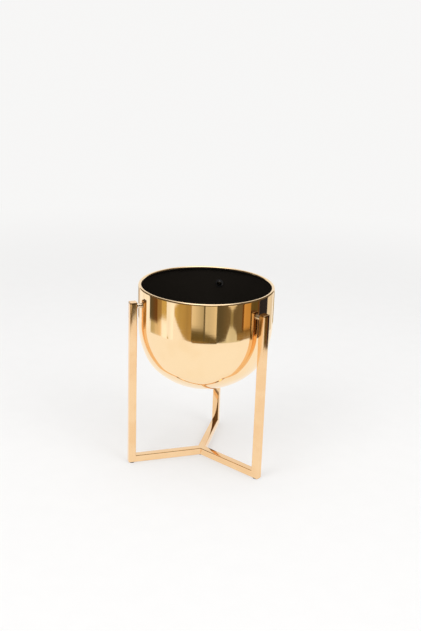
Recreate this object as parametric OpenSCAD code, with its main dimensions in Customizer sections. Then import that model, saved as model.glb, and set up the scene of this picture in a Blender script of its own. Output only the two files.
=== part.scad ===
// Planter with stand: a spun metal pot screwed between three square-tube legs that stand on
// a Y-shaped base. Millimetres. The origin is on the floor under the pot's axis, +Z is up,
// the back leg is towards +Y and the two front legs are at 210 and 330 degrees.

/* [Pot] */
// Outer diameter of the pot's straight wall
pot_d = 185; // [165:1:220]
// Height from where the bottom starts to curve up to the top of the rim
wall_h = 51; // [35:0.5:80]
// Depth of the curved bottom below the straight wall
bowl_depth = 95; // [88:0.5:101]
// Radius of the gentle curve that leads from the wall into the bottom
shoulder_r = 120; // [105:1:135]
// How far round the gentle curve goes before the tighter bend, in degrees
shoulder_turn = 25; // [15:1:30]
// Radius of the tighter bend between the gentle curve and the middle of the bottom
knuckle_r = 55; // [40:1:62]
// Thickness of the spun sheet
sheet = 1; // [0.8:0.1:1.3]
// Outer diameter of the rolled rim
rim_d = 4.4; // [3.6:0.1:6]
// How far round the sheet is rolled, in degrees from the outer wall
rim_roll = 280; // [200:5:290]

/* [Stand] */
// Outer width of the square tube
tube_w = 10; // [9:0.5:14]
// Wall thickness of the square tube
tube_wall = 1; // [0.8:0.1:1.5]
// Outer corner radius of the square tube
tube_round = 1; // [0.5:0.1:1.5]
// Height of a leg from its foot to the top of its cap
leg_h = 235; // [215:0.5:250]
// Height of the pot's rim above the tops of the legs
rim_rise = 18.5; // [8:0.5:30]
// Thickness of the plate that closes the top of a leg
cap_t = 1.5; // [1:0.1:3]
// Bevel around the top edge of the cap
cap_bevel = 0.4; // [0.2:0.1:0.8]

/* [Fixings] */
// Depth of the screws' axis below the plates that close the legs
fix_drop = 4.6; // [4.4:0.1:18]
// Thread diameter of the screws that hold the pot
screw_d = 4; // [3:0.5:5]
// Length of the screws under the head
screw_len = 13.5; // [12:0.5:15]
// Diameter of the screws' rounded head
head_d = 7.6; // [7:0.1:9]
// Height of the screws' rounded head
head_h = 2.2; // [1.8:0.1:2.6]
// Size across the flats of the key socket in the head
socket_af = 2.5; // [2:0.5:3]
// Outer diameter of the soft washer under the head
washer_d = 11; // [10:0.5:14]
// Thickness of the soft washer under the head
washer_t = 1.5; // [1:0.1:2]
// Length of the spacer between the pot and the leg
spacer_len = 4; // [3:0.1:6]
// Outer diameter of the spacer
spacer_d = 6; // [5.5:0.5:8]
// Thickness of the flange of the threaded insert in the leg
insert_lip = 0.8; // [0.6:0.1:1.2]
// Diameter of the threaded insert's barrel
insert_d = 6; // [5.5:0.1:6.5]
// Length of the threaded insert's barrel inside the leg
insert_len = 7; // [5:0.5:7.5]

/* [Feet] */
// Diameter of the pads under the base
pad_d = 9; // [6:0.5:9]
// Thickness of the pads under the base
pad_t = 1; // [0.8:0.1:2]

/* [Hidden] */
$fn = 96;

// Directions of the legs around the pot
left_a = 210;
right_a = 330;
back_a = 90;
leg_angles = [left_a, right_a, back_a];

// Clearances between pieces that lie or slide inside each other
bore_gap = 0.1;
wire_gap = 0.25;
hole_gap = 0.4;
thread_gap = 0.05;
// How far a cutting shape runs past what it cuts
past = 1;
// How far the knuckle's disc stands past its neighbours' arcs where they meet
knuckle_lap = 0.01;

// Stand
pot_r = pot_d / 2;
stand_r = pot_r + spacer_len + insert_lip + tube_w;
leg_x = stand_r - tube_w / 2;
leg_in_x = stand_r - tube_w;
bore_w = tube_w - 2 * tube_wall;
foot_z = pad_t;
leg_top = foot_z + leg_h;
fix_z = leg_top - cap_t - fix_drop;

// Pot
rim_z = leg_top + rim_rise;
turn_z = rim_z - wall_h;
roll_r = rim_d / 2;
roll_x = pot_r - roll_r;
roll_z = rim_z - roll_r;
bottom_z = turn_z - bowl_depth;
// The three arcs of the bottom, the shoulder, the knuckle and the crown, run into each other
// without a corner: each centre lies on the line through its neighbour's centre and their joint
shoulder_x = pot_r - shoulder_r;
knuckle_x = shoulder_x + (shoulder_r - knuckle_r) * cos(shoulder_turn);
knuckle_z = turn_z - (shoulder_r - knuckle_r) * sin(shoulder_turn);
knuckle_h = knuckle_z - bottom_z;
crown_r = (knuckle_x * knuckle_x + knuckle_h * knuckle_h - knuckle_r * knuckle_r)
    / (2 * (knuckle_h - knuckle_r));
crown_z = bottom_z + crown_r;
crown_a = atan2(crown_z - knuckle_z, knuckle_x);

// Fixings
pot_in_r = pot_r - sheet;
washer_x = pot_in_r - washer_t;
head_land = 0.4;
dome_rise = head_h - head_land;
dome_r = (head_d * head_d / 4 + dome_rise * dome_rise) / (2 * dome_rise);
socket_deep = 0.6 * head_h;
insert_bulge = min(insert_d + 1.6, bore_w - 2 * bore_gap);
bulge_len = 2.5;
lip_d = insert_d + 2;

gold = [0.93, 0.76, 0.50];
black = [0.10, 0.10, 0.10];
steel = [0.62, 0.62, 0.64];

// A slice of the plane between two directions from a point
module slice(centre, from_a, to_a, reach) {
    mid_a = (from_a + to_a) / 2;
    polygon([
        centre,
        centre + reach * [cos(from_a), sin(from_a)],
        centre + 1.5 * reach * [cos(mid_a), sin(mid_a)],
        centre + reach * [cos(to_a), sin(to_a)]
    ]);
}

// A sector of a disc
module sector(centre, radius, from_a, to_a) {
    intersection() {
        translate(centre) circle(radius);
        slice(centre, from_a, to_a, 2 * radius);
    }
}

// Half section of all that lies inside the pot's skin, once the skin is moved in by inset. The
// knuckle is a whole disc, which its neighbours' arcs run into and end inside of.
module pot_fill(inset, top_z) {
    translate([0, turn_z]) square([pot_r - inset, top_z - turn_z]);
    intersection() {
        translate([0, bottom_z - past]) square([2 * pot_r, bowl_depth + past]);
        union() {
            sector([shoulder_x, turn_z], shoulder_r - inset, -shoulder_turn, 0);
            translate([knuckle_x, knuckle_z]) circle(knuckle_r + knuckle_lap - inset);
            sector([0, crown_z], crown_r - inset, -90, -crown_a);
            translate([0, knuckle_z]) square([knuckle_x, turn_z - knuckle_z]);
        }
    }
}

// Half section of the rolled rim, from the top of the wall round to its free edge
module rim_section() {
    translate([roll_x, roll_z]) difference() {
        circle(roll_r);
        circle(roll_r - sheet);
        slice([0, 0], rim_roll, 360, 2 * roll_r);
    }
}

// A round hole or shaft that runs outwards from the pot's axis at the height of the screws
module radial_rod(diameter, from_x, to_x) {
    translate([from_x, 0, fix_z]) rotate([0, 90, 0]) cylinder(d = diameter, h = to_x - from_x);
}

// An upright cylinder about the pot's axis at the height of the screws
module upright_drum(radius) {
    translate([0, 0, fix_z - washer_d]) cylinder(r = radius, h = 2 * washer_d, $fn = 180);
}

module pot_shell() {
    color(gold) difference() {
        rotate_extrude($fn = 180) {
            difference() {
                pot_fill(0, roll_z);
                pot_fill(sheet, roll_z + past);
            }
            rim_section();
        }
        for (a = leg_angles) rotate(a) radial_rod(screw_d + hole_gap, washer_x, pot_r + past);
    }
}

// The wire that the rim is rolled around
module rim_wire() {
    color(steel) rotate_extrude($fn = 180) {
        translate([roll_x, roll_z]) circle(roll_r - sheet - wire_gap);
    }
}

module tube_outline() {
    flat = tube_w - 2 * tube_round;
    square([tube_w, flat], center = true);
    square([flat, tube_w], center = true);
    for (x = [-1, 1], y = [-1, 1]) {
        translate([x * flat / 2, y * flat / 2]) circle(tube_round);
    }
}

module square_tube(length) {
    linear_extrude(length) difference() {
        tube_outline();
        square(bore_w, center = true);
    }
}

// Half of a block, on one side of the 45 degree plane where a leg meets its base bar
module mitre_half(leg_side) {
    reach = 2 * tube_w;
    rotate([90, 0, 0]) linear_extrude(reach, center = true) polygon([
        [stand_r + reach, foot_z - reach],
        [stand_r - reach, foot_z + reach],
        leg_side ? [stand_r + reach, foot_z + reach] : [stand_r - reach, foot_z - reach]
    ]);
}

module leg(angle) {
    color(gold) rotate(angle) difference() {
        translate([leg_x, 0, foot_z]) square_tube(leg_h - cap_t);
        mitre_half(false);
        radial_rod(insert_d + hole_gap / 2, leg_in_x - past, leg_in_x + tube_wall + past);
    }
}

// A tube from foot to centre, cut to a 120 degree point where the bars meet
module base_bar(angle) {
    reach = 1.5 * stand_r;
    color(gold) rotate(angle) intersection() {
        difference() {
            translate([0, 0, foot_z + tube_w / 2]) rotate([0, 90, 0]) square_tube(stand_r);
            mitre_half(true);
        }
        translate([0, 0, foot_z - past]) linear_extrude(tube_w + 2 * past) polygon([
            [0, 0],
            [reach, reach * tan(60)],
            [reach, -reach * tan(60)]
        ]);
    }
}

// The side view of the plate that closes a leg, with its top edges bevelled
module cap_profile() {
    linear_extrude(2 * tube_w, center = true) polygon([
        [-tube_w / 2, 0],
        [tube_w / 2, 0],
        [tube_w / 2, cap_t - cap_bevel],
        [tube_w / 2 - cap_bevel, cap_t],
        [cap_bevel - tube_w / 2, cap_t],
        [-tube_w / 2, cap_t - cap_bevel]
    ]);
}

module leg_cap(angle) {
    color(gold) rotate(angle) translate([leg_x, 0, leg_top - cap_t]) intersection() {
        linear_extrude(cap_t) tube_outline();
        rotate([90, 0, 0]) cap_profile();
        rotate([90, 0, 90]) cap_profile();
    }
}

// A round pad under the base, at a distance from the middle in the direction of a leg
module foot_pad(angle, pad_x) {
    color(black) rotate(angle) translate([pad_x, 0, 0]) cylinder(d = pad_d, h = pad_t);
}

// A round spacer, hollowed at one end to sit on the pot's wall
module spacer(angle) {
    color(gold) rotate(angle) difference() {
        radial_rod(spacer_d, pot_r - spacer_d / 2, leg_in_x - insert_lip);
        upright_drum(pot_r);
        radial_rod(screw_d + hole_gap, pot_r - spacer_d, stand_r);
    }
}

// Blind rivet nuts: a flange on the leg's inner face, a barrel through it and the set bulge
module threaded_inserts() {
    color(steel) for (a = leg_angles) rotate(a) difference() {
        union() {
            radial_rod(lip_d, leg_in_x - insert_lip, leg_in_x);
            radial_rod(insert_d, leg_in_x - insert_lip, leg_in_x + insert_len);
            radial_rod(insert_bulge, leg_in_x + tube_wall, leg_in_x + tube_wall + bulge_len);
        }
        radial_rod(screw_d + 2 * thread_gap, leg_in_x - insert_lip - past, stand_r);
    }
}

module pot_screws() {
    color(black) for (a = leg_angles) rotate(a) {
        radial_rod(screw_d, washer_x - head_land, washer_x + screw_len);
        translate([washer_x, 0, fix_z]) rotate([0, -90, 0]) difference() {
            intersection() {
                cylinder(d = head_d, h = head_h);
                translate([0, 0, head_h - dome_r]) sphere(dome_r);
            }
            translate([0, 0, head_h - socket_deep]) {
                cylinder(d = socket_af / cos(30), h = head_h, $fn = 6);
            }
        }
    }
}

// Soft washers inside the pot, flat under the head and round against the wall
module screw_washers() {
    color(black) for (a = leg_angles) rotate(a) difference() {
        intersection() {
            radial_rod(washer_d, washer_x, pot_r);
            upright_drum(pot_in_r);
        }
        radial_rod(screw_d + 2 * thread_gap, washer_x - past, pot_r);
    }
}

pot_shell();
rim_wire();
leg(left_a);  // leg_left
leg(right_a);  // leg_right
leg(back_a);  // leg_back
leg_cap(left_a);  // leg_cap_left
leg_cap(right_a);  // leg_cap_right
leg_cap(back_a);  // leg_cap_back
base_bar(left_a);  // base_bar_left
base_bar(right_a);  // base_bar_right
base_bar(back_a);  // base_bar_back
foot_pad(left_a, leg_x);  // foot_pad_left
foot_pad(right_a, leg_x);  // foot_pad_right
foot_pad(back_a, leg_x);  // foot_pad_back
foot_pad(0, 0);  // foot_pad_centre
spacer(left_a);  // spacer_left
spacer(right_a);  // spacer_right
spacer(back_a);  // spacer_back
threaded_inserts();
pot_screws();
screw_washers();
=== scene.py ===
import math

import bmesh
import bpy
from mathutils import Matrix, Vector


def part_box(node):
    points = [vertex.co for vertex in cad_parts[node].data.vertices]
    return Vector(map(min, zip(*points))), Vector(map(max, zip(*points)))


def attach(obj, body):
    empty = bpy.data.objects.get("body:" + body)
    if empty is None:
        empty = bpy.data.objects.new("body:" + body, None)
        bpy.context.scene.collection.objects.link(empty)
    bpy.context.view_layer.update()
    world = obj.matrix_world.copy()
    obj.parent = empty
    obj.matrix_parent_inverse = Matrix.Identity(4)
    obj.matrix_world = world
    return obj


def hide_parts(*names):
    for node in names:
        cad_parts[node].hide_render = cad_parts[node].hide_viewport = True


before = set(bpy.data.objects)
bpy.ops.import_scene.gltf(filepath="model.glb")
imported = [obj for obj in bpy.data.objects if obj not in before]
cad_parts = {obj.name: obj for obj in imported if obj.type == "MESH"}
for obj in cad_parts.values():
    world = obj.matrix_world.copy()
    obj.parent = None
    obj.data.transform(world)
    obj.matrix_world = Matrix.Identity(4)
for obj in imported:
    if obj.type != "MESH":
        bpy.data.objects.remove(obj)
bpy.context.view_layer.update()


# The camera stands in front of the planter, a little above its rim, and looks down at it. It is
# turned towards the right front leg and leans two degrees. Lengths here are in metres.
PITCH = math.radians(18.512)
LEAN = math.radians(1.998)
TURN = math.radians(11.445)
DISTANCE = 1.3793
ASIDE = 0.0067
ABOVE = 0.1978
PAD_UNDER_BASE = 0.001
LENS_PIXELS = 958.2
FRAME_PIXELS = 631
FILM_HEIGHT = 36

look = Vector((0, math.cos(PITCH), -math.sin(PITCH)))
level_side = Vector((1, 0, 0))
level_top = Vector((0, math.sin(PITCH), math.cos(PITCH)))
side = math.cos(LEAN) * level_side + math.sin(LEAN) * level_top
top = math.cos(LEAN) * level_top - math.sin(LEAN) * level_side
eye = ASIDE * level_side + ABOVE * level_top - DISTANCE * look + Vector((0, 0, PAD_UNDER_BASE))
stand_point = Matrix.Translation(eye)
for row in range(3):
    stand_point[row][0], stand_point[row][1], stand_point[row][2] = side[row], top[row], -look[row]
camera = bpy.data.objects.new("camera", bpy.data.cameras.new("camera"))
camera.data.sensor_fit = "VERTICAL"
camera.data.sensor_height = FILM_HEIGHT
camera.data.lens = LENS_PIXELS * FILM_HEIGHT / FRAME_PIXELS
camera.matrix_world = Matrix.Rotation(TURN, 4, "Z") @ stand_point
bpy.context.scene.collection.objects.link(camera)
bpy.context.scene.camera = camera
bpy.context.scene.view_settings.view_transform = "Standard"


# The floor is a pale sweep that runs back under the planter and fades into an even, nearly white
# background. Its own colour and the lamps' soft light make it pale; it takes the stand's shadow.
class Pen:
    """A material's socket. Arithmetic on it adds Math nodes, and node() adds any other node."""

    def __init__(self, tree, socket=None):
        self.tree = tree
        self.socket = socket

    def node(self, kind, settings=None, sockets=None, out=0):
        made = self.tree.nodes.new(kind)
        for name, value in (settings or {}).items():
            setattr(made, name, value)
        for key, value in (sockets or {}).items():
            if isinstance(value, Pen):
                self.tree.links.new(value.socket, made.inputs[key])
            else:
                made.inputs[key].default_value = value
        return Pen(self.tree, made.outputs[out] if made.outputs else None)

    def math(self, operation, *values):
        return self.node("ShaderNodeMath", {"operation": operation}, dict(enumerate(values)))

    def __add__(self, other):
        return self.math("ADD", self, other)

    def __radd__(self, other):
        return self.math("ADD", other, self)

    def __sub__(self, other):
        return self.math("SUBTRACT", self, other)

    def __rsub__(self, other):
        return self.math("SUBTRACT", other, self)

    def __mul__(self, other):
        return self.math("MULTIPLY", self, other)

    def __rmul__(self, other):
        return self.math("MULTIPLY", other, self)

    def between(self, low, high, start=0.0, end=1.0):
        """The value moved smoothly from the range low..high to start..end."""
        return self.node("ShaderNodeMapRange", {"interpolation_type": "SMOOTHSTEP"},
                         {0: self, 1: low, 2: high, 3: start, 4: end})

    def blend(self, first, second):
        """Two colours mixed by the value."""
        return self.node("ShaderNodeMix", {"data_type": "RGBA"},
                         {0: self, 6: first, 7: second}, out=2)

    def noise(self, where, scale, detail=3.0):
        return self.node("ShaderNodeTexNoise", {}, {"Vector": where, "Scale": scale, "Detail": detail})

    def stretched(self, where, scale):
        return self.node("ShaderNodeMapping", {}, {"Vector": where, "Scale": scale})

    def parts(self, vector):
        """The X, Y and Z of a vector."""
        split = self.node("ShaderNodeSeparateXYZ", {}, {0: vector}).socket.node
        return [Pen(self.tree, socket) for socket in split.outputs]

    def own(self, attribute, out="Vector"):
        """An attribute of the piece's mesh: its Vector, or with out set to Fac its number."""
        return self.node("ShaderNodeAttribute", {"attribute_name": attribute}, out=out)

    def ray(self, kind):
        """1 on light paths of this kind, and 0 on others."""
        return self.node("ShaderNodeLightPath", out="Is %s Ray" % kind)

    def bump(self, distance, height):
        return self.node("ShaderNodeBump", {}, {"Strength": 1.0, "Distance": distance, "Height": height})

    def principled(self, **sockets):
        """Ends a material in a Principled shader. Its sockets are named with _ for a space."""
        named = {name.replace("_", " "): value for name, value in sockets.items()}
        self.surface(self.node("ShaderNodeBsdfPrincipled", {}, named))

    def surface(self, shader, end="ShaderNodeOutputMaterial"):
        self.node(end, {}, {"Surface": shader})


def new_material(name):
    made = bpy.data.materials.new(name)
    made.use_nodes = True
    made.node_tree.nodes.clear()
    pen = Pen(made.node_tree)
    return made, pen, pen.node("ShaderNodeTexCoord", out="Object")


def mesh_object(name, points, faces, finish=None):
    mesh = bpy.data.meshes.new(name)
    mesh.from_pydata(points, [], faces)
    if finish:
        mesh.materials.append(finish)
    made = bpy.data.objects.new(name, mesh)
    bpy.context.scene.collection.objects.link(made)
    return made


BACKGROUND = (0.93, 0.925, 0.918, 1)
FLOOR_WHITE = (0.86, 0.855, 0.85, 1)
MIRRORED_FLOOR = (1.0, 0.992, 0.975, 1)
PAPER_GRAIN, GRAIN_SHADE = 35.0, 0.985
SEEN_SHARE, MIRRORED_SHARE = 0.5, 0.85
FADE_FROM, FADE_TO = 0.75, 1.7
FLOOR_REACH = 4.0

sweep, pen, place = new_material("pale_sweep")
far = pen.node("ShaderNodeVectorMath", {"operation": "LENGTH"}, {0: place}, out=1)
grain = pen.noise(place, PAPER_GRAIN).between(0.3, 0.7, GRAIN_SHADE, 1.0)
paper = pen.node("ShaderNodeMix", {"data_type": "RGBA", "blend_type": "MULTIPLY"},
                 {0: 1.0, 6: FLOOR_WHITE, 7: grain}, out=2)
sheet_light = pen.node("ShaderNodeBsdfDiffuse", {}, {"Color": paper})
mirrored = pen.math("MAXIMUM", pen.ray("Glossy"), pen.ray("Transmission"))
even_light = pen.node("ShaderNodeEmission", {}, {
    "Color": mirrored.blend(BACKGROUND, MIRRORED_FLOOR), "Strength": 1.0})
share = pen.math("MAXIMUM", far.between(FADE_FROM, FADE_TO, SEEN_SHARE, 1.0) * pen.ray("Camera"),
                 far.between(FADE_FROM, FADE_TO, MIRRORED_SHARE, 1.0) * mirrored)
pen.surface(pen.node("ShaderNodeMixShader", {}, {0: share, 1: sheet_light, 2: even_light}))
corners = [(x * FLOOR_REACH, y * FLOOR_REACH, 0) for x, y in ((-1, -1), (1, -1), (1, 1), (-1, 1))]
floor = mesh_object("floor", corners, [(0, 1, 2, 3)], sweep)


# The light is a white room, two large soft lamps left and right above the camera, and a soft box
# overhead. Only the soft box shows in the metal, as the pale line on the rim; the rest of what
# the metal shows is the room's pale walls and the cards set up below.
ROOM_LIGHT = 0.68
LAMP_SIZE = 1.2
LAMP_AIM = Vector((0, 0, 0.12))
LAMPS = [
    ("lamp_left", (-1.3, -1.5, 1.9), 20.0),
    ("lamp_right", (1.4, -1.2, 1.8), 15.0),
    ("soft_box", (0.0, -0.2, 1.7), 6.5),
]

world = bpy.data.worlds.new("white_room")
world.use_nodes = True
world.node_tree.nodes.clear()
pen = Pen(world.node_tree)
mirrored = pen.math("MAXIMUM", pen.ray("Glossy"), pen.ray("Transmission"))
shows = pen.math("MAXIMUM", mirrored, pen.ray("Camera"))
lit = pen.node("ShaderNodeBackground", {}, {"Color": (1, 1, 1, 1), "Strength": ROOM_LIGHT})
shown = pen.node("ShaderNodeBackground", {}, {"Color": BACKGROUND, "Strength": 1.0})
pen.surface(pen.node("ShaderNodeMixShader", {}, {0: shows, 1: lit, 2: shown}), "ShaderNodeOutputWorld")
bpy.context.scene.world = world
for lamp_name, lamp_place, watts in LAMPS:
    lamp = bpy.data.objects.new(lamp_name, bpy.data.lights.new(lamp_name, "AREA"))
    lamp.data.size = LAMP_SIZE
    lamp.data.energy = watts
    lamp.location = Matrix.Rotation(TURN, 3, "Z") @ Vector(lamp_place)
    lamp.rotation_euler = (LAMP_AIM - lamp.location).to_track_quat("-Z", "Y").to_euler()
    lamp.visible_glossy = lamp_name == "soft_box"
    bpy.context.scene.collection.objects.link(lamp)


# Studio cards stand in a ring around the planter and are seen only in its metal. They glow by
# themselves and are no lamps: their colours are painted reflections of a lit studio, and higher up
# painted shade of an unlit room. Polished metal needs something dark to show: they give the pot its
# upright bands, and low cards the shapes under them.
MM = 0.001
WHITE = (1.05, 1.05, 1.05)
CREAM = (0.85, 0.78, 0.66)
PALE, PALE_SHADE, PALE_EDGE = (0.80, 0.68, 0.46), (0.44, 0.375, 0.24), (0.66, 0.57, 0.39)
SAND = (0.88, 0.68, 0.43)
OCHRE, OCHRE_SHADE, OCHRE_LOW = (0.58, 0.41, 0.135), (0.42, 0.275, 0.09), (0.50, 0.42, 0.22)
AMBER, AMBER_LOW = (0.34, 0.215, 0.075), (0.30, 0.19, 0.065)
ORANGE, ORANGE_SHADE = (0.64, 0.35, 0.10), (0.52, 0.27, 0.065)
BROWN, BROWN_LIGHT, RED_BROWN = (0.105, 0.085, 0.045), (0.165, 0.120, 0.058), (0.14, 0.058, 0.014)
OLIVE, OLIVE_DARK = (0.31, 0.25, 0.12), (0.125, 0.088, 0.028)
BLACK = (0.026, 0.024, 0.030)
SHADED_FLOOR = (0.70, 0.66, 0.50)
ROOM_DARK = (0.115, 0.085, 0.050)
TALL = 1300
# Each card: the directions that it stands between, in degrees to the right of the camera, its
# distance, the heights of its lower edge from left to right and of its top, all in millimetres,
# its colour at the left and at the right, and how soft its sides (degrees) and its foot are
CARDS = [
    (-136, -102, 640, (0,), TALL, WHITE, WHITE, 0.7, 4),
    (-101, -80.5, 594, (34,), TALL, BROWN, RED_BROWN, 1.5, 9),
    (-83, -71.5, 596, (32, 44), TALL, AMBER, AMBER, 1.5, 12),
    (-99.5, -71, 600, (2,), 50, OCHRE_LOW, SAND, 4.0, 14),
    (-72, -50, 604, (0,), TALL, WHITE, WHITE, 0.7, 4),
    (-73.5, -61.8, 598, (42,), TALL, OCHRE, OCHRE, 1.2, 18),
    (-61.5, -58.5, 590, (4,), 24, OCHRE, OCHRE, 0.7, 5),
    (-49.5, -20, 594, (64, 42, 25, 15, 9), TALL, OCHRE, OCHRE_SHADE, 1.5, 5),
    (-21.2, -0.5, 594, (38, 36), TALL, PALE, PALE_SHADE, 0.7, 14),
    (-0.8, 20.5, 594, (36, 24), TALL, PALE_EDGE, PALE, 0.7, 6),
    (-2.5, 0.3, 592, (20,), TALL, BROWN, BROWN, 0.7, 4),
    (-21.5, 22, 597, (9, 3, 0, 2, 8), 60, OLIVE_DARK, OLIVE_DARK, 0.7, 4),
    (-20, 19, 588, (0,), 27, AMBER_LOW, OLIVE_DARK, 0.7, 4),
    (17.3, 39.5, 592, (9, 13, 22, 52), TALL, BROWN, BROWN_LIGHT, 0.7, 5),
    (38.5, 45, 598, (44,), TALL, OLIVE, OLIVE, 0.7, 4),
    (43.5, 60, 594, (45, 35, 14, 8), TALL, BROWN_LIGHT, BROWN_LIGHT, 0.7, 5),
    (58.8, 62.5, 593, (12,), TALL, RED_BROWN, RED_BROWN, 0.7, 4),
    (59.5, 78, 597, (28,), TALL, ORANGE, ORANGE_SHADE, 2.0, 4),
    (74, 80, 592, (30,), TALL, OLIVE_DARK, OLIVE_DARK, 2.0, 4),
    (56, 80, 582, (24,), 45, OLIVE_DARK, RED_BROWN, 2.0, 8),
    (50, 80, 580, (17,), 40, AMBER_LOW, AMBER_LOW, 2.0, 8),
    (77, 92, 590, (0,), TALL, OLIVE_DARK, OLIVE_DARK, 0.7, 4),
    (90, 94.2, 576, (0,), TALL, RED_BROWN, RED_BROWN, 0.7, 4),
    (93.4, 118, 574, (0,), TALL, BLACK, BLACK, 0.7, 4),
    (117, 142, 600, (0,), TALL, CREAM, CREAM, 0.7, 4),
    (22, 58, 603, (0,), 75, SHADED_FLOOR, SHADED_FLOOR, 0.7, 4),
    (34, 49.5, 584, (93, 86, 80, 85, 91), TALL, PALE, PALE, 1.5, 5),
    (-52, -40, 584, (77, 93), TALL, WHITE, PALE, 1.5, 6),
    (150, 164, 620, (0,), 110, OCHRE, OCHRE_SHADE, 0.7, 4),
    (166, 178, 630, (12,), 110, BROWN, BROWN_LIGHT, 0.7, 4),
    (184, 203, 620, (8,), 110, PALE, PALE_SHADE, 0.7, 4),
    (207, 216, 640, (0,), 110, BROWN_LIGHT, ORANGE, 0.7, 4),
]
CARD_STEP = 1.5
CARD_STEPS_LEAST = 4
SOFT_TOP = 8.0
ROOM_FROM, ROOM_TO = 150.0, 210.0
MOTTLE, MOTTLE_DARK, MOTTLE_LIGHT = 7.0, 0.88, 1.1


def card_finish(name, width, height, left, right, soft_side, soft_foot):
    """A soft-edged glow that turns, above the cards' lit part, into the dark of the unlit room."""
    board, pen, place = new_material(name)
    x, up, z = pen.parts(pen.own("across"))
    lit_part = x.between(0.0, 1.0).blend((*left, 1), (*right, 1))
    colour = z.between(ROOM_FROM, ROOM_TO).blend(lit_part, (*ROOM_DARK, 1))
    mottle = pen.noise(pen.stretched(place, (1.0, 1.0, 0.3)), MOTTLE)
    glow = pen.node("ShaderNodeEmission", {}, {
        "Color": colour, "Strength": mottle.between(0.3, 0.7, MOTTLE_DARK, MOTTLE_LIGHT)})
    soft = soft_side / width
    edge = x.between(0.0, soft) * x.between(1.0, 1 - soft) * up.between(0.0, soft_foot)
    if height < ROOM_FROM:
        edge = edge * z.between(height, height - SOFT_TOP)
    clear = pen.node("ShaderNodeBsdfTransparent")
    pen.surface(pen.node("ShaderNodeMixShader", {}, {0: edge, 1: clear, 2: glow}))
    return board


def foot_at(feet, share):
    """The height of a card's lower edge at a share of its width."""
    spot = share * (len(feet) - 1)
    first = min(int(spot), max(0, len(feet) - 2))
    last = min(first + 1, len(feet) - 1)
    return feet[first] + (feet[last] - feet[first]) * (spot - first)


def card(name, low, high, distance, feet, height, left, right, soft_side, soft_foot):
    steps = max(CARD_STEPS_LEAST, round((high - low) / CARD_STEP))
    levels = (0.0, soft_foot, ROOM_FROM, height) if height > ROOM_FROM else (0.0, soft_foot, height)
    points, spread = [], []
    for i in range(steps + 1):
        foot = foot_at(feet, i / steps)
        way = math.radians(low + (high - low) * i / steps) + TURN
        for level in levels:
            z = foot + level if level == soft_foot else max(foot, level)
            points.append((distance * MM * math.sin(way), -distance * MM * math.cos(way), z * MM))
            spread += [i / steps, z - foot, z]
    count = len(levels)
    faces = [(i * count + j, (i + 1) * count + j, (i + 1) * count + j + 1, i * count + j + 1)
             for i in range(steps) for j in range(count - 1)]
    board = card_finish(name, high - low, height, left, right, soft_side, soft_foot)
    made = mesh_object(name, points, faces, board)
    made.data.attributes.new("across", "FLOAT_VECTOR", "POINT").data.foreach_set("vector", spread)
    made.visible_camera = False
    made.visible_diffuse = False
    made.visible_shadow = False
    made.visible_transmission = False


for number, settings in enumerate(CARDS):
    card("card_%d" % number, *settings)


# The base bars are square steel tube, sawn to a point where the three meet and to 45 degrees at
# the feet, welded, ground flush, polished and plated pale gold.
STAND_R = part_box("leg_back")[1].y
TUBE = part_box("base_bar_back")[1].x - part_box("base_bar_back")[0].x
FOOT_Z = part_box("base_bar_back")[0].z
LEG_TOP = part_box("leg_back")[1].z
LEGS = {"left": 210.0, "right": 330.0, "back": 90.0}
POINT_ANGLE = math.radians(60)
TUBE_WALL = 1.0 * MM
TUBE_ROUND = 1.0 * MM
TUBE_CROWN = 0.12 * MM
CROWN_STEPS = 5
BORE_ROUND = 0.2 * MM
EDGE_HOLD = 0.12 * MM
CORNER_STEPS = 6
SAME_POINT = 1e-7
PLATED = (0.95, 0.66, 0.385)
PLATED_DEEP = (0.92, 0.61, 0.335)
WELD_TINT = (0.14, 0.085, 0.035)
WELD_FROM, WELD_TO = 0.3 * MM, 0.9 * MM
POLISH_LINES = (2600.0, 2600.0, 30.0)
PLATING_CLOUD, HANDLING_MARKS = 38.0, 120.0
PLATED_ROUGHNESS, PLATED_RELIEF = 0.055, 1.2e-6
ALONG_X, ALONG_Z = 0, 2


def smooth(piece, angle=30):
    """Smooth shading with its edges sharper than the angle kept crisp."""
    piece.data.shade_smooth()
    piece.data.set_sharp_from_angle(angle=math.radians(angle))
    return piece


def faced_out(piece):
    """Merges doubles and turns every face outwards."""
    work = bmesh.new()
    work.from_mesh(piece.data)
    bmesh.ops.remove_doubles(work, verts=work.verts, dist=SAME_POINT)
    bmesh.ops.recalc_face_normals(work, faces=work.faces)
    work.to_mesh(piece.data)
    work.free()
    return piece


def rounded_square(half, corner, crown=0.0):
    """Points round a square with rounded corners. Its sides bulge by the crown, as drawn tube's do."""
    flat = half - corner
    along = [flat * i / CROWN_STEPS for i in range(CROWN_STEPS)] + [flat - EDGE_HOLD]
    out = [half + crown * (1 - (t / flat) ** 2) for t in along]
    points = []
    for quarter in range(4):
        turn = Matrix.Rotation(math.radians(90 * quarter), 2)
        side = list(zip(out, along))
        for i in range(CORNER_STEPS + 1):
            a = math.radians(90 * i / CORNER_STEPS)
            side.append((flat + corner * math.cos(a), flat + corner * math.sin(a)))
        side += list(zip(along, out))[:0:-1]
        points += [turn @ Vector(p) for p in side]
    return points


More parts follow.
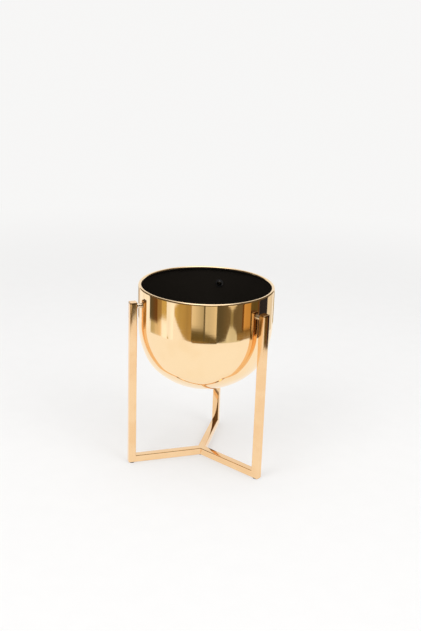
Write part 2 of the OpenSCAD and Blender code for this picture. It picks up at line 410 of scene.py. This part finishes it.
def square_tube(name, finish, start, end, length):
    """A hollow square tube whose ends are cut by start(u, v) and end(u, v), which give 3-D points.

    The attribute tube_way holds each point's place across the tube and along its length."""
    outer = rounded_square(TUBE / 2, TUBE_ROUND, TUBE_CROWN)
    inner = rounded_square(TUBE / 2 - TUBE_WALL, BORE_ROUND)
    sections = [(outer, start), (outer, end), (inner, end), (inner, start)]
    count = len(outer)
    points, ways, faces = [], [], []
    for ring, (section, cut) in enumerate(sections):
        here, there = ring * count, (ring + 1) % len(sections) * count
        for i, (u, v) in enumerate(section):
            point = cut(u, v)
            points.append(point)
            ways += [u, v, point[length]]
            j = (i + 1) % count
            faces.append((here + i, here + j, there + j, there + i))
    made = mesh_object(name, points, faces, finish)
    made.data.attributes.new("tube_way", "FLOAT_VECTOR", "POINT").data.foreach_set("vector", ways)
    return smooth(faced_out(made))


def around_tree():
    """A Geometry Nodes tree that copies a piece round the pot's axis and gives it its finish."""
    tree = bpy.data.node_groups.new("around_the_axis", "GeometryNodeTree")
    sockets = tree.interface
    sockets.new_socket("Geometry", in_out="OUTPUT", socket_type="NodeSocketGeometry")
    sockets.new_socket("Geometry", in_out="INPUT", socket_type="NodeSocketGeometry")
    for label, kind in (("Count", "Int"), ("First Angle", "Float"), ("Finish", "Material")):
        sockets.new_socket(label, in_out="INPUT", socket_type="NodeSocket" + kind)
    links = tree.links

    def add(kind, operation=None):
        made = tree.nodes.new(kind)
        if operation:
            made.operation = operation
        return made

    given, result = add("NodeGroupInput"), add("NodeGroupOutput")
    spots, index = add("GeometryNodePoints"), add("GeometryNodeInputIndex")
    share, step = add("ShaderNodeMath", "DIVIDE"), add("ShaderNodeMath", "MULTIPLY")
    angle, turn = add("ShaderNodeMath", "ADD"), add("ShaderNodeCombineXYZ")
    copies, solid = add("GeometryNodeInstanceOnPoints"), add("GeometryNodeRealizeInstances")
    paint = add("GeometryNodeSetMaterial")
    share.inputs[0].default_value = math.tau
    links.new(given.outputs["Count"], spots.inputs["Count"])
    links.new(given.outputs["Count"], share.inputs[1])
    links.new(index.outputs[0], step.inputs[0])
    links.new(share.outputs[0], step.inputs[1])
    links.new(step.outputs[0], angle.inputs[0])
    links.new(given.outputs["First Angle"], angle.inputs[1])
    links.new(angle.outputs[0], turn.inputs["Z"])
    links.new(spots.outputs[0], copies.inputs["Points"])
    links.new(given.outputs["Geometry"], copies.inputs["Instance"])
    links.new(turn.outputs[0], copies.inputs["Rotation"])
    links.new(copies.outputs[0], solid.inputs[0])
    links.new(solid.outputs[0], paint.inputs["Geometry"])
    links.new(given.outputs["Finish"], paint.inputs["Material"])
    links.new(paint.outputs[0], result.inputs[0])
    return tree


AROUND = around_tree()


def set_around(piece, name, finish, count=3, first=90.0):
    """Copies a piece made for the +X direction round the axis, and returns one plain mesh object."""
    modifier = piece.modifiers.new("around", "NODES")
    modifier.node_group = AROUND
    wanted = {"Count": count, "First Angle": math.radians(first), "Finish": finish}
    for item in AROUND.interface.items_tree:
        if item.name in wanted:
            modifier[item.identifier] = wanted[item.name]
    bpy.context.view_layer.update()
    ready = piece.evaluated_get(bpy.context.evaluated_depsgraph_get())
    mesh = bpy.data.meshes.new_from_object(ready)
    mesh.name = name
    made = bpy.data.objects.new(name, mesh)
    bpy.context.scene.collection.objects.link(made)
    piece.modifiers.remove(modifier)
    return made


def fit(piece, slot, *nodes):
    """Puts a finished piece on the planter in place of its plain solids."""
    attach(piece, "root")
    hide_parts(*nodes)


def fit_at_legs(piece, name, finish, slot):
    """Fits a copy of a piece at each leg, every one as a piece of its own."""
    for way, angle in LEGS.items():
        fit(set_around(piece, name + way, finish, 1, angle), slot, name + way)
    bpy.data.objects.remove(piece)


def plated_finish(name, way=None):
    """Polished pale gold plating with fine polishing lines along the tube and faint handling marks.

    The weld under the plate that closes a leg shows as a thin darker line."""
    made, pen, place = new_material(name)
    lines = pen.noise(pen.stretched(pen.own(way) if way else place, POLISH_LINES), 1.0, 2.0)
    cloud = pen.noise(place, PLATING_CLOUD, 2.0).between(0.35, 0.65)
    marks = pen.noise(pen.stretched(place, (1.0, 1.0, 0.6)), HANDLING_MARKS, 4.0).between(0.58, 0.72)
    from_weld = pen.math("ABSOLUTE", pen.parts(place)[2] - LEG_TOP)
    gold = cloud.blend((*PLATED, 1), (*PLATED_DEEP, 1))
    pen.principled(Base_Color=from_weld.between(WELD_FROM, WELD_TO).blend((*WELD_TINT, 1), gold),
                   Metallic=1.0, Roughness=PLATED_ROUGHNESS + lines * 0.05 + marks * 0.05,
                   Normal=pen.bump(PLATED_RELIEF, lines * 0.6 + cloud * 6.0))
    return made


def bar_inner(u, v):
    """The end at the middle of the base, cut to a 120 degree point."""
    return Vector((abs(u) / math.tan(POINT_ANGLE), u, FOOT_Z + TUBE / 2 + v))


def bar_outer(u, v):
    """The end at the foot, cut at 45 degrees."""
    return Vector((STAND_R - (TUBE / 2 + v), u, FOOT_Z + TUBE / 2 + v))


plated = plated_finish("plated_tube", "tube_way")
fit_at_legs(square_tube("bar", plated, bar_inner, bar_outer, ALONG_X), "base_bar_", plated, "stand_metal")


# The legs are the same tube, standing on the bars' ends with a mitred corner. The plating runs on
# over the ground weld.
LEG_X = STAND_R - TUBE / 2


def leg_foot(u, v):
    return Vector((LEG_X + u, v, FOOT_Z + TUBE / 2 - u))


def leg_end(u, v):
    return Vector((LEG_X + u, v, LEG_TOP))


fit_at_legs(square_tube("leg", plated, leg_foot, leg_end, ALONG_Z), "leg_", plated, "stand_metal")


# Each leg is closed by a plate of the same outline, welded on and plated with the stand. Its top
# edge is rounded over.
CAP_EDGE = 0.8 * MM
CAP_STEPS = 8
CAP_LOW, CAP_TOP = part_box("leg_cap_back")[0].z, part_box("leg_cap_back")[1].z


def cap_plate(name, finish):
    levels = [(0.0, CAP_LOW), (0.0, CAP_LOW + EDGE_HOLD), (0.0, CAP_TOP - CAP_EDGE - EDGE_HOLD)]
    for i in range(CAP_STEPS + 1):
        a = math.radians(90 * i / CAP_STEPS)
        levels.append((CAP_EDGE * (1 - math.cos(a)), CAP_TOP - CAP_EDGE + CAP_EDGE * math.sin(a)))
    levels.append((CAP_EDGE + EDGE_HOLD, CAP_TOP))
    points = []
    for inset, z in levels:
        outline = rounded_square(TUBE / 2 - inset, TUBE_ROUND - inset, TUBE_CROWN)
        points += [(LEG_X + p.x, p.y, z) for p in outline]
    count = len(outline)
    faces = [tuple(range(count)), tuple(range(len(points) - count, len(points)))]
    for here in range(0, len(points) - count, count):
        there = here + count
        for i in range(count):
            j = (i + 1) % count
            faces.append((here + i, here + j, there + j, there + i))
    return smooth(faced_out(mesh_object(name, points, faces, finish)))


plated_plate = plated_finish("plated_plate")
fit_at_legs(cap_plate("cap", plated_plate), "leg_cap_", plated_plate, "cap_metal")


# A round pad of moulded black rubber is stuck under each foot and one under the middle of the
# base. The pads keep the metal off the floor, and their lower edges are rounded.
PAD_R = (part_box("foot_pad_centre")[1].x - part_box("foot_pad_centre")[0].x) / 2
PAD_EDGE = 0.3 * MM
PAD_HOLD = 0.05 * MM
PAD_TOP_EASE = 0.1 * MM
PAD_STEPS = 5
SMALL_STEPS = 48
POLE = 1e-9
RUBBER_CREASE = 50
RUBBER_BLACK, RUBBER_DUST = (0.017, 0.017, 0.018, 1), (0.055, 0.052, 0.048, 1)
MOULDED_GRAIN, DUST_PATCHES = 2600.0, 260.0
RUBBER_ROUGHNESS, RUBBER_RELIEF = 0.58, 1.2e-5


def spun(name, rings, steps, finish, bore=False, shape=None, way=None):
    """Turns rings of (radius, height) round the Z axis into a closed skin, with a bore or with poles.

    shape(ring, angle, radius, height) may give a point's own radius and height. A third value of a
    ring is kept as the point attribute named by way."""
    points, marks, rows = [], [], []
    for number, (radius, z, *mark) in enumerate(rings):
        around = steps if radius > POLE else 1
        rows.append([len(points) + i % around for i in range(steps)])
        for i in range(around):
            a = math.tau * i / steps
            r, h = shape(number, a, radius, z) if shape else (radius, z)
            points.append((r * math.cos(a), r * math.sin(a), h))
            marks += mark
    faces = []
    for low, high in zip(rows, rows[1:] + (rows[:1] if bore else [])):
        for i in range(steps):
            j = (i + 1) % steps
            corners = []
            for corner in (low[i], low[j], high[j], high[i]):
                if corner not in corners:
                    corners.append(corner)
            if len(corners) > 2:
                faces.append(corners)
    made = mesh_object(name, points, faces, finish)
    if way:
        made.data.attributes.new(way, "FLOAT", "POINT").data.foreach_set("value", marks)
    own = made.data.attributes.new("own_place", "FLOAT_VECTOR", "POINT")
    own.data.foreach_set("vector", [number for point in points for number in point])
    return faced_out(made)


def rubber_finish(name):
    """Matt black rubber with a fine moulded grain, greyer where dust holds to it."""
    made, pen, place = new_material(name)
    grain = pen.noise(place, MOULDED_GRAIN, 2.0)
    dust = pen.noise(place, DUST_PATCHES, 4.0).between(0.5, 0.75)
    pen.principled(Base_Color=dust.blend(RUBBER_BLACK, RUBBER_DUST),
                   Roughness=RUBBER_ROUGHNESS + grain * 0.15 + dust * 0.12,
                   Normal=pen.bump(RUBBER_RELIEF, grain))
    return made


pad_rings = [(0.0, 0.0), (PAD_R - 3 * PAD_EDGE, 0.0), (PAD_R - PAD_EDGE - PAD_HOLD, 0.0)]
for i in range(PAD_STEPS + 1):
    a = math.radians(90 * i / PAD_STEPS)
    pad_rings.append((PAD_R - PAD_EDGE + PAD_EDGE * math.sin(a), PAD_EDGE - PAD_EDGE * math.cos(a)))
pad_rings += [(PAD_R, FOOT_Z - PAD_TOP_EASE), (PAD_R - 0.3 * PAD_TOP_EASE, FOOT_Z - 0.3 * PAD_TOP_EASE),
              (PAD_R - PAD_TOP_EASE, FOOT_Z), (0.0, FOOT_Z)]
pad_rubber = rubber_finish("pad_rubber")
middle_pad = smooth(spun("foot_pad_middle", pad_rings, SMALL_STEPS, pad_rubber), RUBBER_CREASE)
fit(middle_pad, "pad_rubber", "foot_pad_centre")
pad = smooth(spun("pad", pad_rings, SMALL_STEPS, pad_rubber), RUBBER_CREASE)
pad.data.transform(Matrix.Translation((LEG_X, 0, 0)))
fit_at_legs(pad, "foot_pad_", pad_rubber, "pad_rubber")


# A zinc-plated threaded insert is set in each leg: a thin flange on the leg's face, a barrel with
# a bulge that grips behind the wall, and the bore that takes the pot's screw.
POT_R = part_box("pot_shell")[1].x
FIX_Z = (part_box("spacer_back")[0].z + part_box("spacer_back")[1].z) / 2
LEG_IN_X = STAND_R - TUBE
INSERT_LIP = 0.8 * MM
INSERT_R = 3.0 * MM
INSERT_LEN = 7.0 * MM
LIP_R = 4.0 * MM
LIP_X = LEG_IN_X - INSERT_LIP
BULGE_R = 3.8 * MM
BULGE_X = LEG_IN_X + 1.0 * MM
BULGE_LEN = 2.5 * MM
BULGE_STEPS = 10
BULGE_FULLNESS = 0.6
THREAD_BORE = 2.05 * MM
EASE = 0.1 * MM
METAL_CREASE = 35
ZINC_LIGHT, ZINC_DARK, ZINC_ROUGHNESS = (0.68, 0.69, 0.71), (0.58, 0.59, 0.62), 0.18
TURNING_LINES = (900.0, 900.0, 120.0)
TARNISH, TURNED_RELIEF = 300.0, 2.0e-6
# Lays a piece that is spun about Z along +X, at the height of the screws
OUTWARDS = Matrix(((0, 0, 1, 0), (0, 1, 0, 0), (-1, 0, 0, FIX_Z), (0, 0, 0, 1)))


def bare_metal(name, light, dark, roughness):
    """Plated or blackened steel with the fine rings of turning and a little unevenness."""
    made, pen, place = new_material(name)
    lines = pen.noise(pen.stretched(pen.own("own_place"), TURNING_LINES), 3.0, 2.0)
    cloud = pen.noise(place, TARNISH, 3.0).between(0.35, 0.65)
    pen.principled(Base_Color=cloud.blend((*light, 1), (*dark, 1)), Metallic=1.0,
                   Roughness=roughness + lines * 0.08 + cloud * 0.05,
                   Normal=pen.bump(TURNED_RELIEF, lines))
    return made


def fit_radially(piece, name, finish, slot):
    """Lays a piece spun about its own axis along the screws' axes, one at each leg."""
    piece.data.transform(OUTWARDS)
    fit(set_around(smooth(piece, METAL_CREASE), name, finish), slot, name)
    bpy.data.objects.remove(piece)


insert_rings = [(THREAD_BORE, LIP_X), (LIP_R - EASE, LIP_X), (LIP_R, LIP_X + EASE),
                (LIP_R, LEG_IN_X - EASE), (LIP_R - EASE, LEG_IN_X),
                (INSERT_R, LEG_IN_X), (INSERT_R, BULGE_X - EASE)]
for i in range(BULGE_STEPS + 1):
    swell = math.sin(math.pi * i / BULGE_STEPS) ** BULGE_FULLNESS
    insert_rings.append((INSERT_R + (BULGE_R - INSERT_R) * swell, BULGE_X + BULGE_LEN * i / BULGE_STEPS))
insert_rings += [(INSERT_R, LEG_IN_X + INSERT_LEN - EASE), (INSERT_R - EASE, LEG_IN_X + INSERT_LEN),
                 (THREAD_BORE, LEG_IN_X + INSERT_LEN)]
zinc = bare_metal("bright_zinc", ZINC_LIGHT, ZINC_DARK, ZINC_ROUGHNESS)
insert = spun("insert", insert_rings, SMALL_STEPS, zinc, bore=True)
fit_radially(insert, "threaded_inserts", zinc, "insert_metal")


# The pot is one disc of thin sheet, spun over a round former: a straight wall, a bend and a
# flatter middle. Outside it is polished and plated pale gold, inside it is lacquered black.
RIM_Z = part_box("pot_shell")[1].z
POT_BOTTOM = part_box("pot_shell")[0].z
WALL_H = 51.0 * MM
SHOULDER_R = 120.0 * MM
SHOULDER_TURN = math.radians(25)
KNUCKLE_R = 55.0 * MM
SHEET = 1.0 * MM
ROLL_R = 2.2 * MM
ROLL_END = 280
POT_STEPS = 240
CROWN_RINGS, KNUCKLE_RINGS, SHOULDER_RINGS = 36, 24, 30
ROLL_RINGS, ROLL_RINGS_INSIDE = 36, 24
WALL_START, WALL_END = 1.5 * MM, 1.0 * MM
HOLE_R = 2.2 * MM
HOLE_BAND = 2.8 * MM
DRILL_REACH = 5.0 * MM
DRILL_STEPS = 32
TURN_Z = RIM_Z - WALL_H
SHOULDER_X = POT_R - SHOULDER_R
KNUCKLE_X = SHOULDER_X + (SHOULDER_R - KNUCKLE_R) * math.cos(SHOULDER_TURN)
KNUCKLE_Z = TURN_Z - (SHOULDER_R - KNUCKLE_R) * math.sin(SHOULDER_TURN)
KNUCKLE_H = KNUCKLE_Z - POT_BOTTOM
CROWN_R = (KNUCKLE_X ** 2 + KNUCKLE_H ** 2 - KNUCKLE_R ** 2) / (2 * (KNUCKLE_H - KNUCKLE_R))
CROWN_Z = POT_BOTTOM + CROWN_R
CROWN_TURN = math.atan2(CROWN_Z - KNUCKLE_Z, KNUCKLE_X)
ROLL_X, ROLL_Z = POT_R - ROLL_R, RIM_Z - ROLL_R
LACQUER_FROM, LACQUER_TO = 150.0, 172.0
GOLD, GOLD_DEEP = (0.99, 0.75, 0.465), (0.97, 0.71, 0.415)
LACQUER = (0.016, 0.013, 0.010)
MIRROR_ROUGHNESS, POT_RELIEF = 0.035, 1.0e-6
SPINNING_LINES, LINE_DRIFT = 900.0, 14.0
WAVES, SMUDGES, TINT, SPECKLE, LACQUER_EDGE = 16.0, 55.0, 22.0, 900.0, 400.0
LINE_HEIGHT, WAVE_HEIGHT, SPECKLE_HEIGHT = 4.0, 90.0, 18.0


def bowl_side(inset):
    """The skin from the middle of the bottom up to the wall, moved inwards by inset."""
    arcs = [(0.0, CROWN_Z, CROWN_R, math.pi / 2, CROWN_TURN, CROWN_RINGS),
            (KNUCKLE_X, KNUCKLE_Z, KNUCKLE_R, CROWN_TURN, SHOULDER_TURN, KNUCKLE_RINGS),
            (SHOULDER_X, TURN_Z, SHOULDER_R, SHOULDER_TURN, 0.0, SHOULDER_RINGS)]
    points = []
    for x, z, radius, start, end, steps in arcs:
        for i in range(steps):
            a = start + (end - start) * i / steps
            points.append((max(0.0, x + (radius - inset) * math.cos(a)), z - (radius - inset) * math.sin(a)))
    points[0] = (0.0, points[0][1])
    wall = (TURN_Z, TURN_Z + WALL_START, FIX_Z - HOLE_BAND, FIX_Z + HOLE_BAND, ROLL_Z - WALL_END)
    return points + [(POT_R - inset, z) for z in wall]


def roll_arc(radius, steps):
    """The roll of the rim, from the wall round to its free edge, with each point's angle."""
    arc = []
    for i in range(steps + 1):
        a = ROLL_END * i / steps
        across, up = radius * math.cos(math.radians(a)), radius * math.sin(math.radians(a))
        arc.append((ROLL_X + across, ROLL_Z + up, a))
    return arc


def pot_profile():
    """Radius, height and lacquer of every ring, from the outer pole over the rim to the inner pole."""
    rings = [(r, z, 0.0) for r, z in bowl_side(0.0)]
    for r, z, a in roll_arc(ROLL_R, ROLL_RINGS):
        rings.append((r, z, min(1.0, max(0.0, (a - LACQUER_FROM) / (LACQUER_TO - LACQUER_FROM)))))
    rings += [(r, z, 1.0) for r, z, a in reversed(roll_arc(ROLL_R - SHEET, ROLL_RINGS_INSIDE))]
    return rings + [(r, z, 1.0) for r, z in reversed(bowl_side(SHEET))]


def spun_gold():
    """Mirror-polished plating with the spinner's fine rings, and speckled lacquer on the inside."""
    made, pen, place = new_material("spun_gold")
    x, y, z = pen.parts(place)
    radius = pen.math("SQRT", x * x + y * y)
    ring_place = pen.node("ShaderNodeCombineXYZ", {}, {
        0: radius * SPINNING_LINES + x * LINE_DRIFT, 1: z * SPINNING_LINES + y * LINE_DRIFT, 2: 0.5})
    rings = pen.noise(ring_place, 1.0, 2.0)
    waves = pen.noise(pen.stretched(place, (1.0, 1.0, 0.35)), WAVES, 1.0)
    smudge = pen.noise(place, SMUDGES, 4.0).between(0.55, 0.75)
    inside = (pen.noise(place, LACQUER_EDGE, 2.0) * 0.3 + pen.own("lacquer", "Fac")).between(0.6, 0.7)
    gold = pen.noise(place, TINT, 2.0).between(0.4, 0.7).blend((*GOLD, 1), (*GOLD_DEEP, 1))
    speckle = pen.noise(place, SPECKLE, 2.0)
    height = rings * LINE_HEIGHT + waves * WAVE_HEIGHT + inside * speckle * SPECKLE_HEIGHT
    pen.principled(Base_Color=inside.blend(gold, (*LACQUER, 1)), Metallic=1.0 - inside,
                   Roughness=MIRROR_ROUGHNESS + rings * 0.04 + smudge * 0.03 + inside * 0.33,
                   Normal=pen.bump(POT_RELIEF, height))
    return made


def drilled(piece):
    """Drills the three screw holes through the wall."""
    inner, outer = POT_R - DRILL_REACH, POT_R + DRILL_REACH
    rod = [(0.0, inner), (HOLE_R, inner), (HOLE_R, outer), (0.0, outer)]
    drill = spun("drill", rod, DRILL_STEPS, None)
    drill.data.transform(OUTWARDS)
    drills = set_around(drill, "drills", None)
    cut = piece.modifiers.new("holes", "BOOLEAN")
    cut.operation = "DIFFERENCE"
    cut.solver = "EXACT"
    cut.object = drills
    bpy.context.view_layer.update()
    mesh = bpy.data.meshes.new_from_object(piece.evaluated_get(bpy.context.evaluated_depsgraph_get()))
    piece.modifiers.remove(cut)
    bpy.data.objects.remove(drill)
    bpy.data.objects.remove(drills)
    piece.data = mesh
    return piece


pot = drilled(spun("pot", pot_profile(), POT_STEPS, spun_gold(), way="lacquer"))
fit(smooth(pot), "pot_metal", "pot_shell")


# A ring of drawn wire lies inside the rolled rim and keeps it round and stiff. It is plain steel,
# with the fine scratches of the drawing die.
WIRE_LIGHT, WIRE_DARK = (0.68, 0.68, 0.69, 1), (0.55, 0.55, 0.56, 1)
WIRE_ROUGHNESS = 0.3
DIE_SCRATCHES = 700.0

steel, pen, place = new_material("drawn_wire")
drawn = pen.noise(place, DIE_SCRATCHES, 2.0)
pen.principled(Base_Color=drawn.blend(WIRE_DARK, WIRE_LIGHT), Metallic=1.0,
               Roughness=WIRE_ROUGHNESS + drawn * 0.15)
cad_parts["rim_wire"].data.materials.clear()
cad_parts["rim_wire"].data.materials.append(steel)


# A short nickel-plated spacer stands between each leg and the pot. Its inner end is cut to the
# curve of the wall.
SPACER_R = 3.0 * MM
SPACER_BORE = 2.2 * MM
SPACER_HOLD = 0.4 * MM
SEATED_RINGS = 2
NICKEL_LIGHT, NICKEL_DARK, NICKEL_ROUGHNESS = (0.95, 0.93, 0.90), (0.90, 0.88, 0.84), 0.32


def on_the_wall(wall):
    """Seats the first two rings of a piece on a round wall of the given radius."""
    def seat(ring, angle, radius, height):
        if ring < SEATED_RINGS:
            return radius, math.sqrt(wall ** 2 - (radius * math.sin(angle)) ** 2)
        return radius, height
    return seat


spacer_rings = [(SPACER_BORE, POT_R), (SPACER_R, POT_R), (SPACER_R, POT_R + SPACER_HOLD),
                (SPACER_R, LIP_X - EASE), (SPACER_R - EASE, LIP_X), (SPACER_BORE, LIP_X)]
nickel = bare_metal("satin_nickel", NICKEL_LIGHT, NICKEL_DARK, NICKEL_ROUGHNESS)
spacer = spun("spacer", spacer_rings, SMALL_STEPS, nickel, bore=True, shape=on_the_wall(POT_R))
spacer.data.transform(OUTWARDS)
fit_at_legs(smooth(spacer, METAL_CREASE), "spacer_", nickel, "spacer_metal")


# A washer of black rubber lies under each screw's head. It seals the hole, and bends to follow
# the inside of the wall.
WASHER_R = 5.5 * MM
WASHER_THICK = 1.5 * MM
WASHER_IN = POT_R - SHEET - WASHER_THICK
WASHER_EDGE = 0.3 * MM

washer_rings = [(THREAD_BORE, POT_R), (WASHER_R, POT_R), (WASHER_R, WASHER_IN + WASHER_EDGE),
                (WASHER_R - EASE, WASHER_IN + EASE), (WASHER_R - WASHER_EDGE, WASHER_IN),
                (THREAD_BORE, WASHER_IN)]
washer_rubber = rubber_finish("washer_rubber")
inside_wall = on_the_wall(POT_R - SHEET)
washer = spun("washer", washer_rings, SMALL_STEPS, washer_rubber, bore=True, shape=inside_wall)
fit_radially(washer, "screw_washers", washer_rubber, "washer_rubber")


# Blackened button-head screws hold the pot from inside, through the wall, the spacer and into the
# insert. Each has a hexagon socket and a rolled thread.
SHANK_R = 2.0 * MM
SHANK_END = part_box("pot_screws")[1].y
SHANK_POINT = 0.4 * MM
HEAD_R = 3.8 * MM
HEAD_H = 2.2 * MM
HEAD_LAND = 0.4 * MM
HEAD_RINGS = 8
HEAD_TOP = WASHER_IN - HEAD_H
DOME_RISE = HEAD_H - HEAD_LAND
DOME_R = (HEAD_R ** 2 + DOME_RISE ** 2) / (2 * DOME_RISE)
SOCKET = 2.5 * MM
SOCKET_DEEP = 1.32 * MM
SOCKET_CONE = 0.25 * MM
SOCKET_RIM_R = 1.62 * MM
SOCKET_RINGS = (1, 2)
THREAD_PITCH, THREAD_DEEP = 0.7 * MM, 0.38 * MM
THREAD_FROM = POT_R + 1.0 * MM
THREAD_TO = SHANK_END - 0.5 * MM
PITCH_RINGS = 8
OXIDE_LIGHT, OXIDE_DARK, OXIDE_ROUGHNESS = (0.11, 0.107, 0.104), (0.065, 0.062, 0.060), 0.32

screw_rings = [(0.0, HEAD_TOP + SOCKET_DEEP + SOCKET_CONE), (SOCKET / 2, HEAD_TOP + SOCKET_DEEP),
               (SOCKET / 2, HEAD_TOP + SOCKET_CONE)]
for i in range(HEAD_RINGS + 1):
    r = SOCKET_RIM_R + (HEAD_R - SOCKET_RIM_R) * math.sin(math.radians(90 * i / HEAD_RINGS))
    screw_rings.append((r, HEAD_TOP + DOME_R - math.sqrt(DOME_R ** 2 - r ** 2)))
screw_rings += [(HEAD_R, WASHER_IN - EASE), (HEAD_R - EASE, WASHER_IN),
                (SHANK_R, WASHER_IN), (SHANK_R, THREAD_FROM)]
first_thread = len(screw_rings)
thread_rings = int((THREAD_TO - THREAD_FROM) / THREAD_PITCH * PITCH_RINGS)
for i in range(thread_rings):
    screw_rings.append((SHANK_R, THREAD_FROM + THREAD_PITCH / PITCH_RINGS * (i + 1)))
screw_rings += [(SHANK_R - SHANK_POINT, SHANK_END), (0.0, SHANK_END)]


def screw_shape(ring, angle, radius, height):
    """Makes the socket's rings hexagons and winds the thread, which fades in and out at its ends."""
    if ring in SOCKET_RINGS:
        sixth = math.radians(60)
        return radius / math.cos((angle + sixth / 2) % sixth - sixth / 2), height
    if first_thread <= ring < first_thread + thread_rings:
        phase = (angle / math.tau + (height - THREAD_FROM) / THREAD_PITCH) % 1.0
        from_end = min(ring - first_thread + 1, first_thread + thread_rings - ring)
        return radius - THREAD_DEEP * min(1.0, from_end / PITCH_RINGS) * abs(2 * phase - 1), height
    return radius, height


oxide = bare_metal("black_oxide", OXIDE_LIGHT, OXIDE_DARK, OXIDE_ROUGHNESS)
screw = spun("screw", screw_rings, SMALL_STEPS, oxide, shape=screw_shape)
fit_radially(screw, "pot_screws", oxide, "screw_metal")
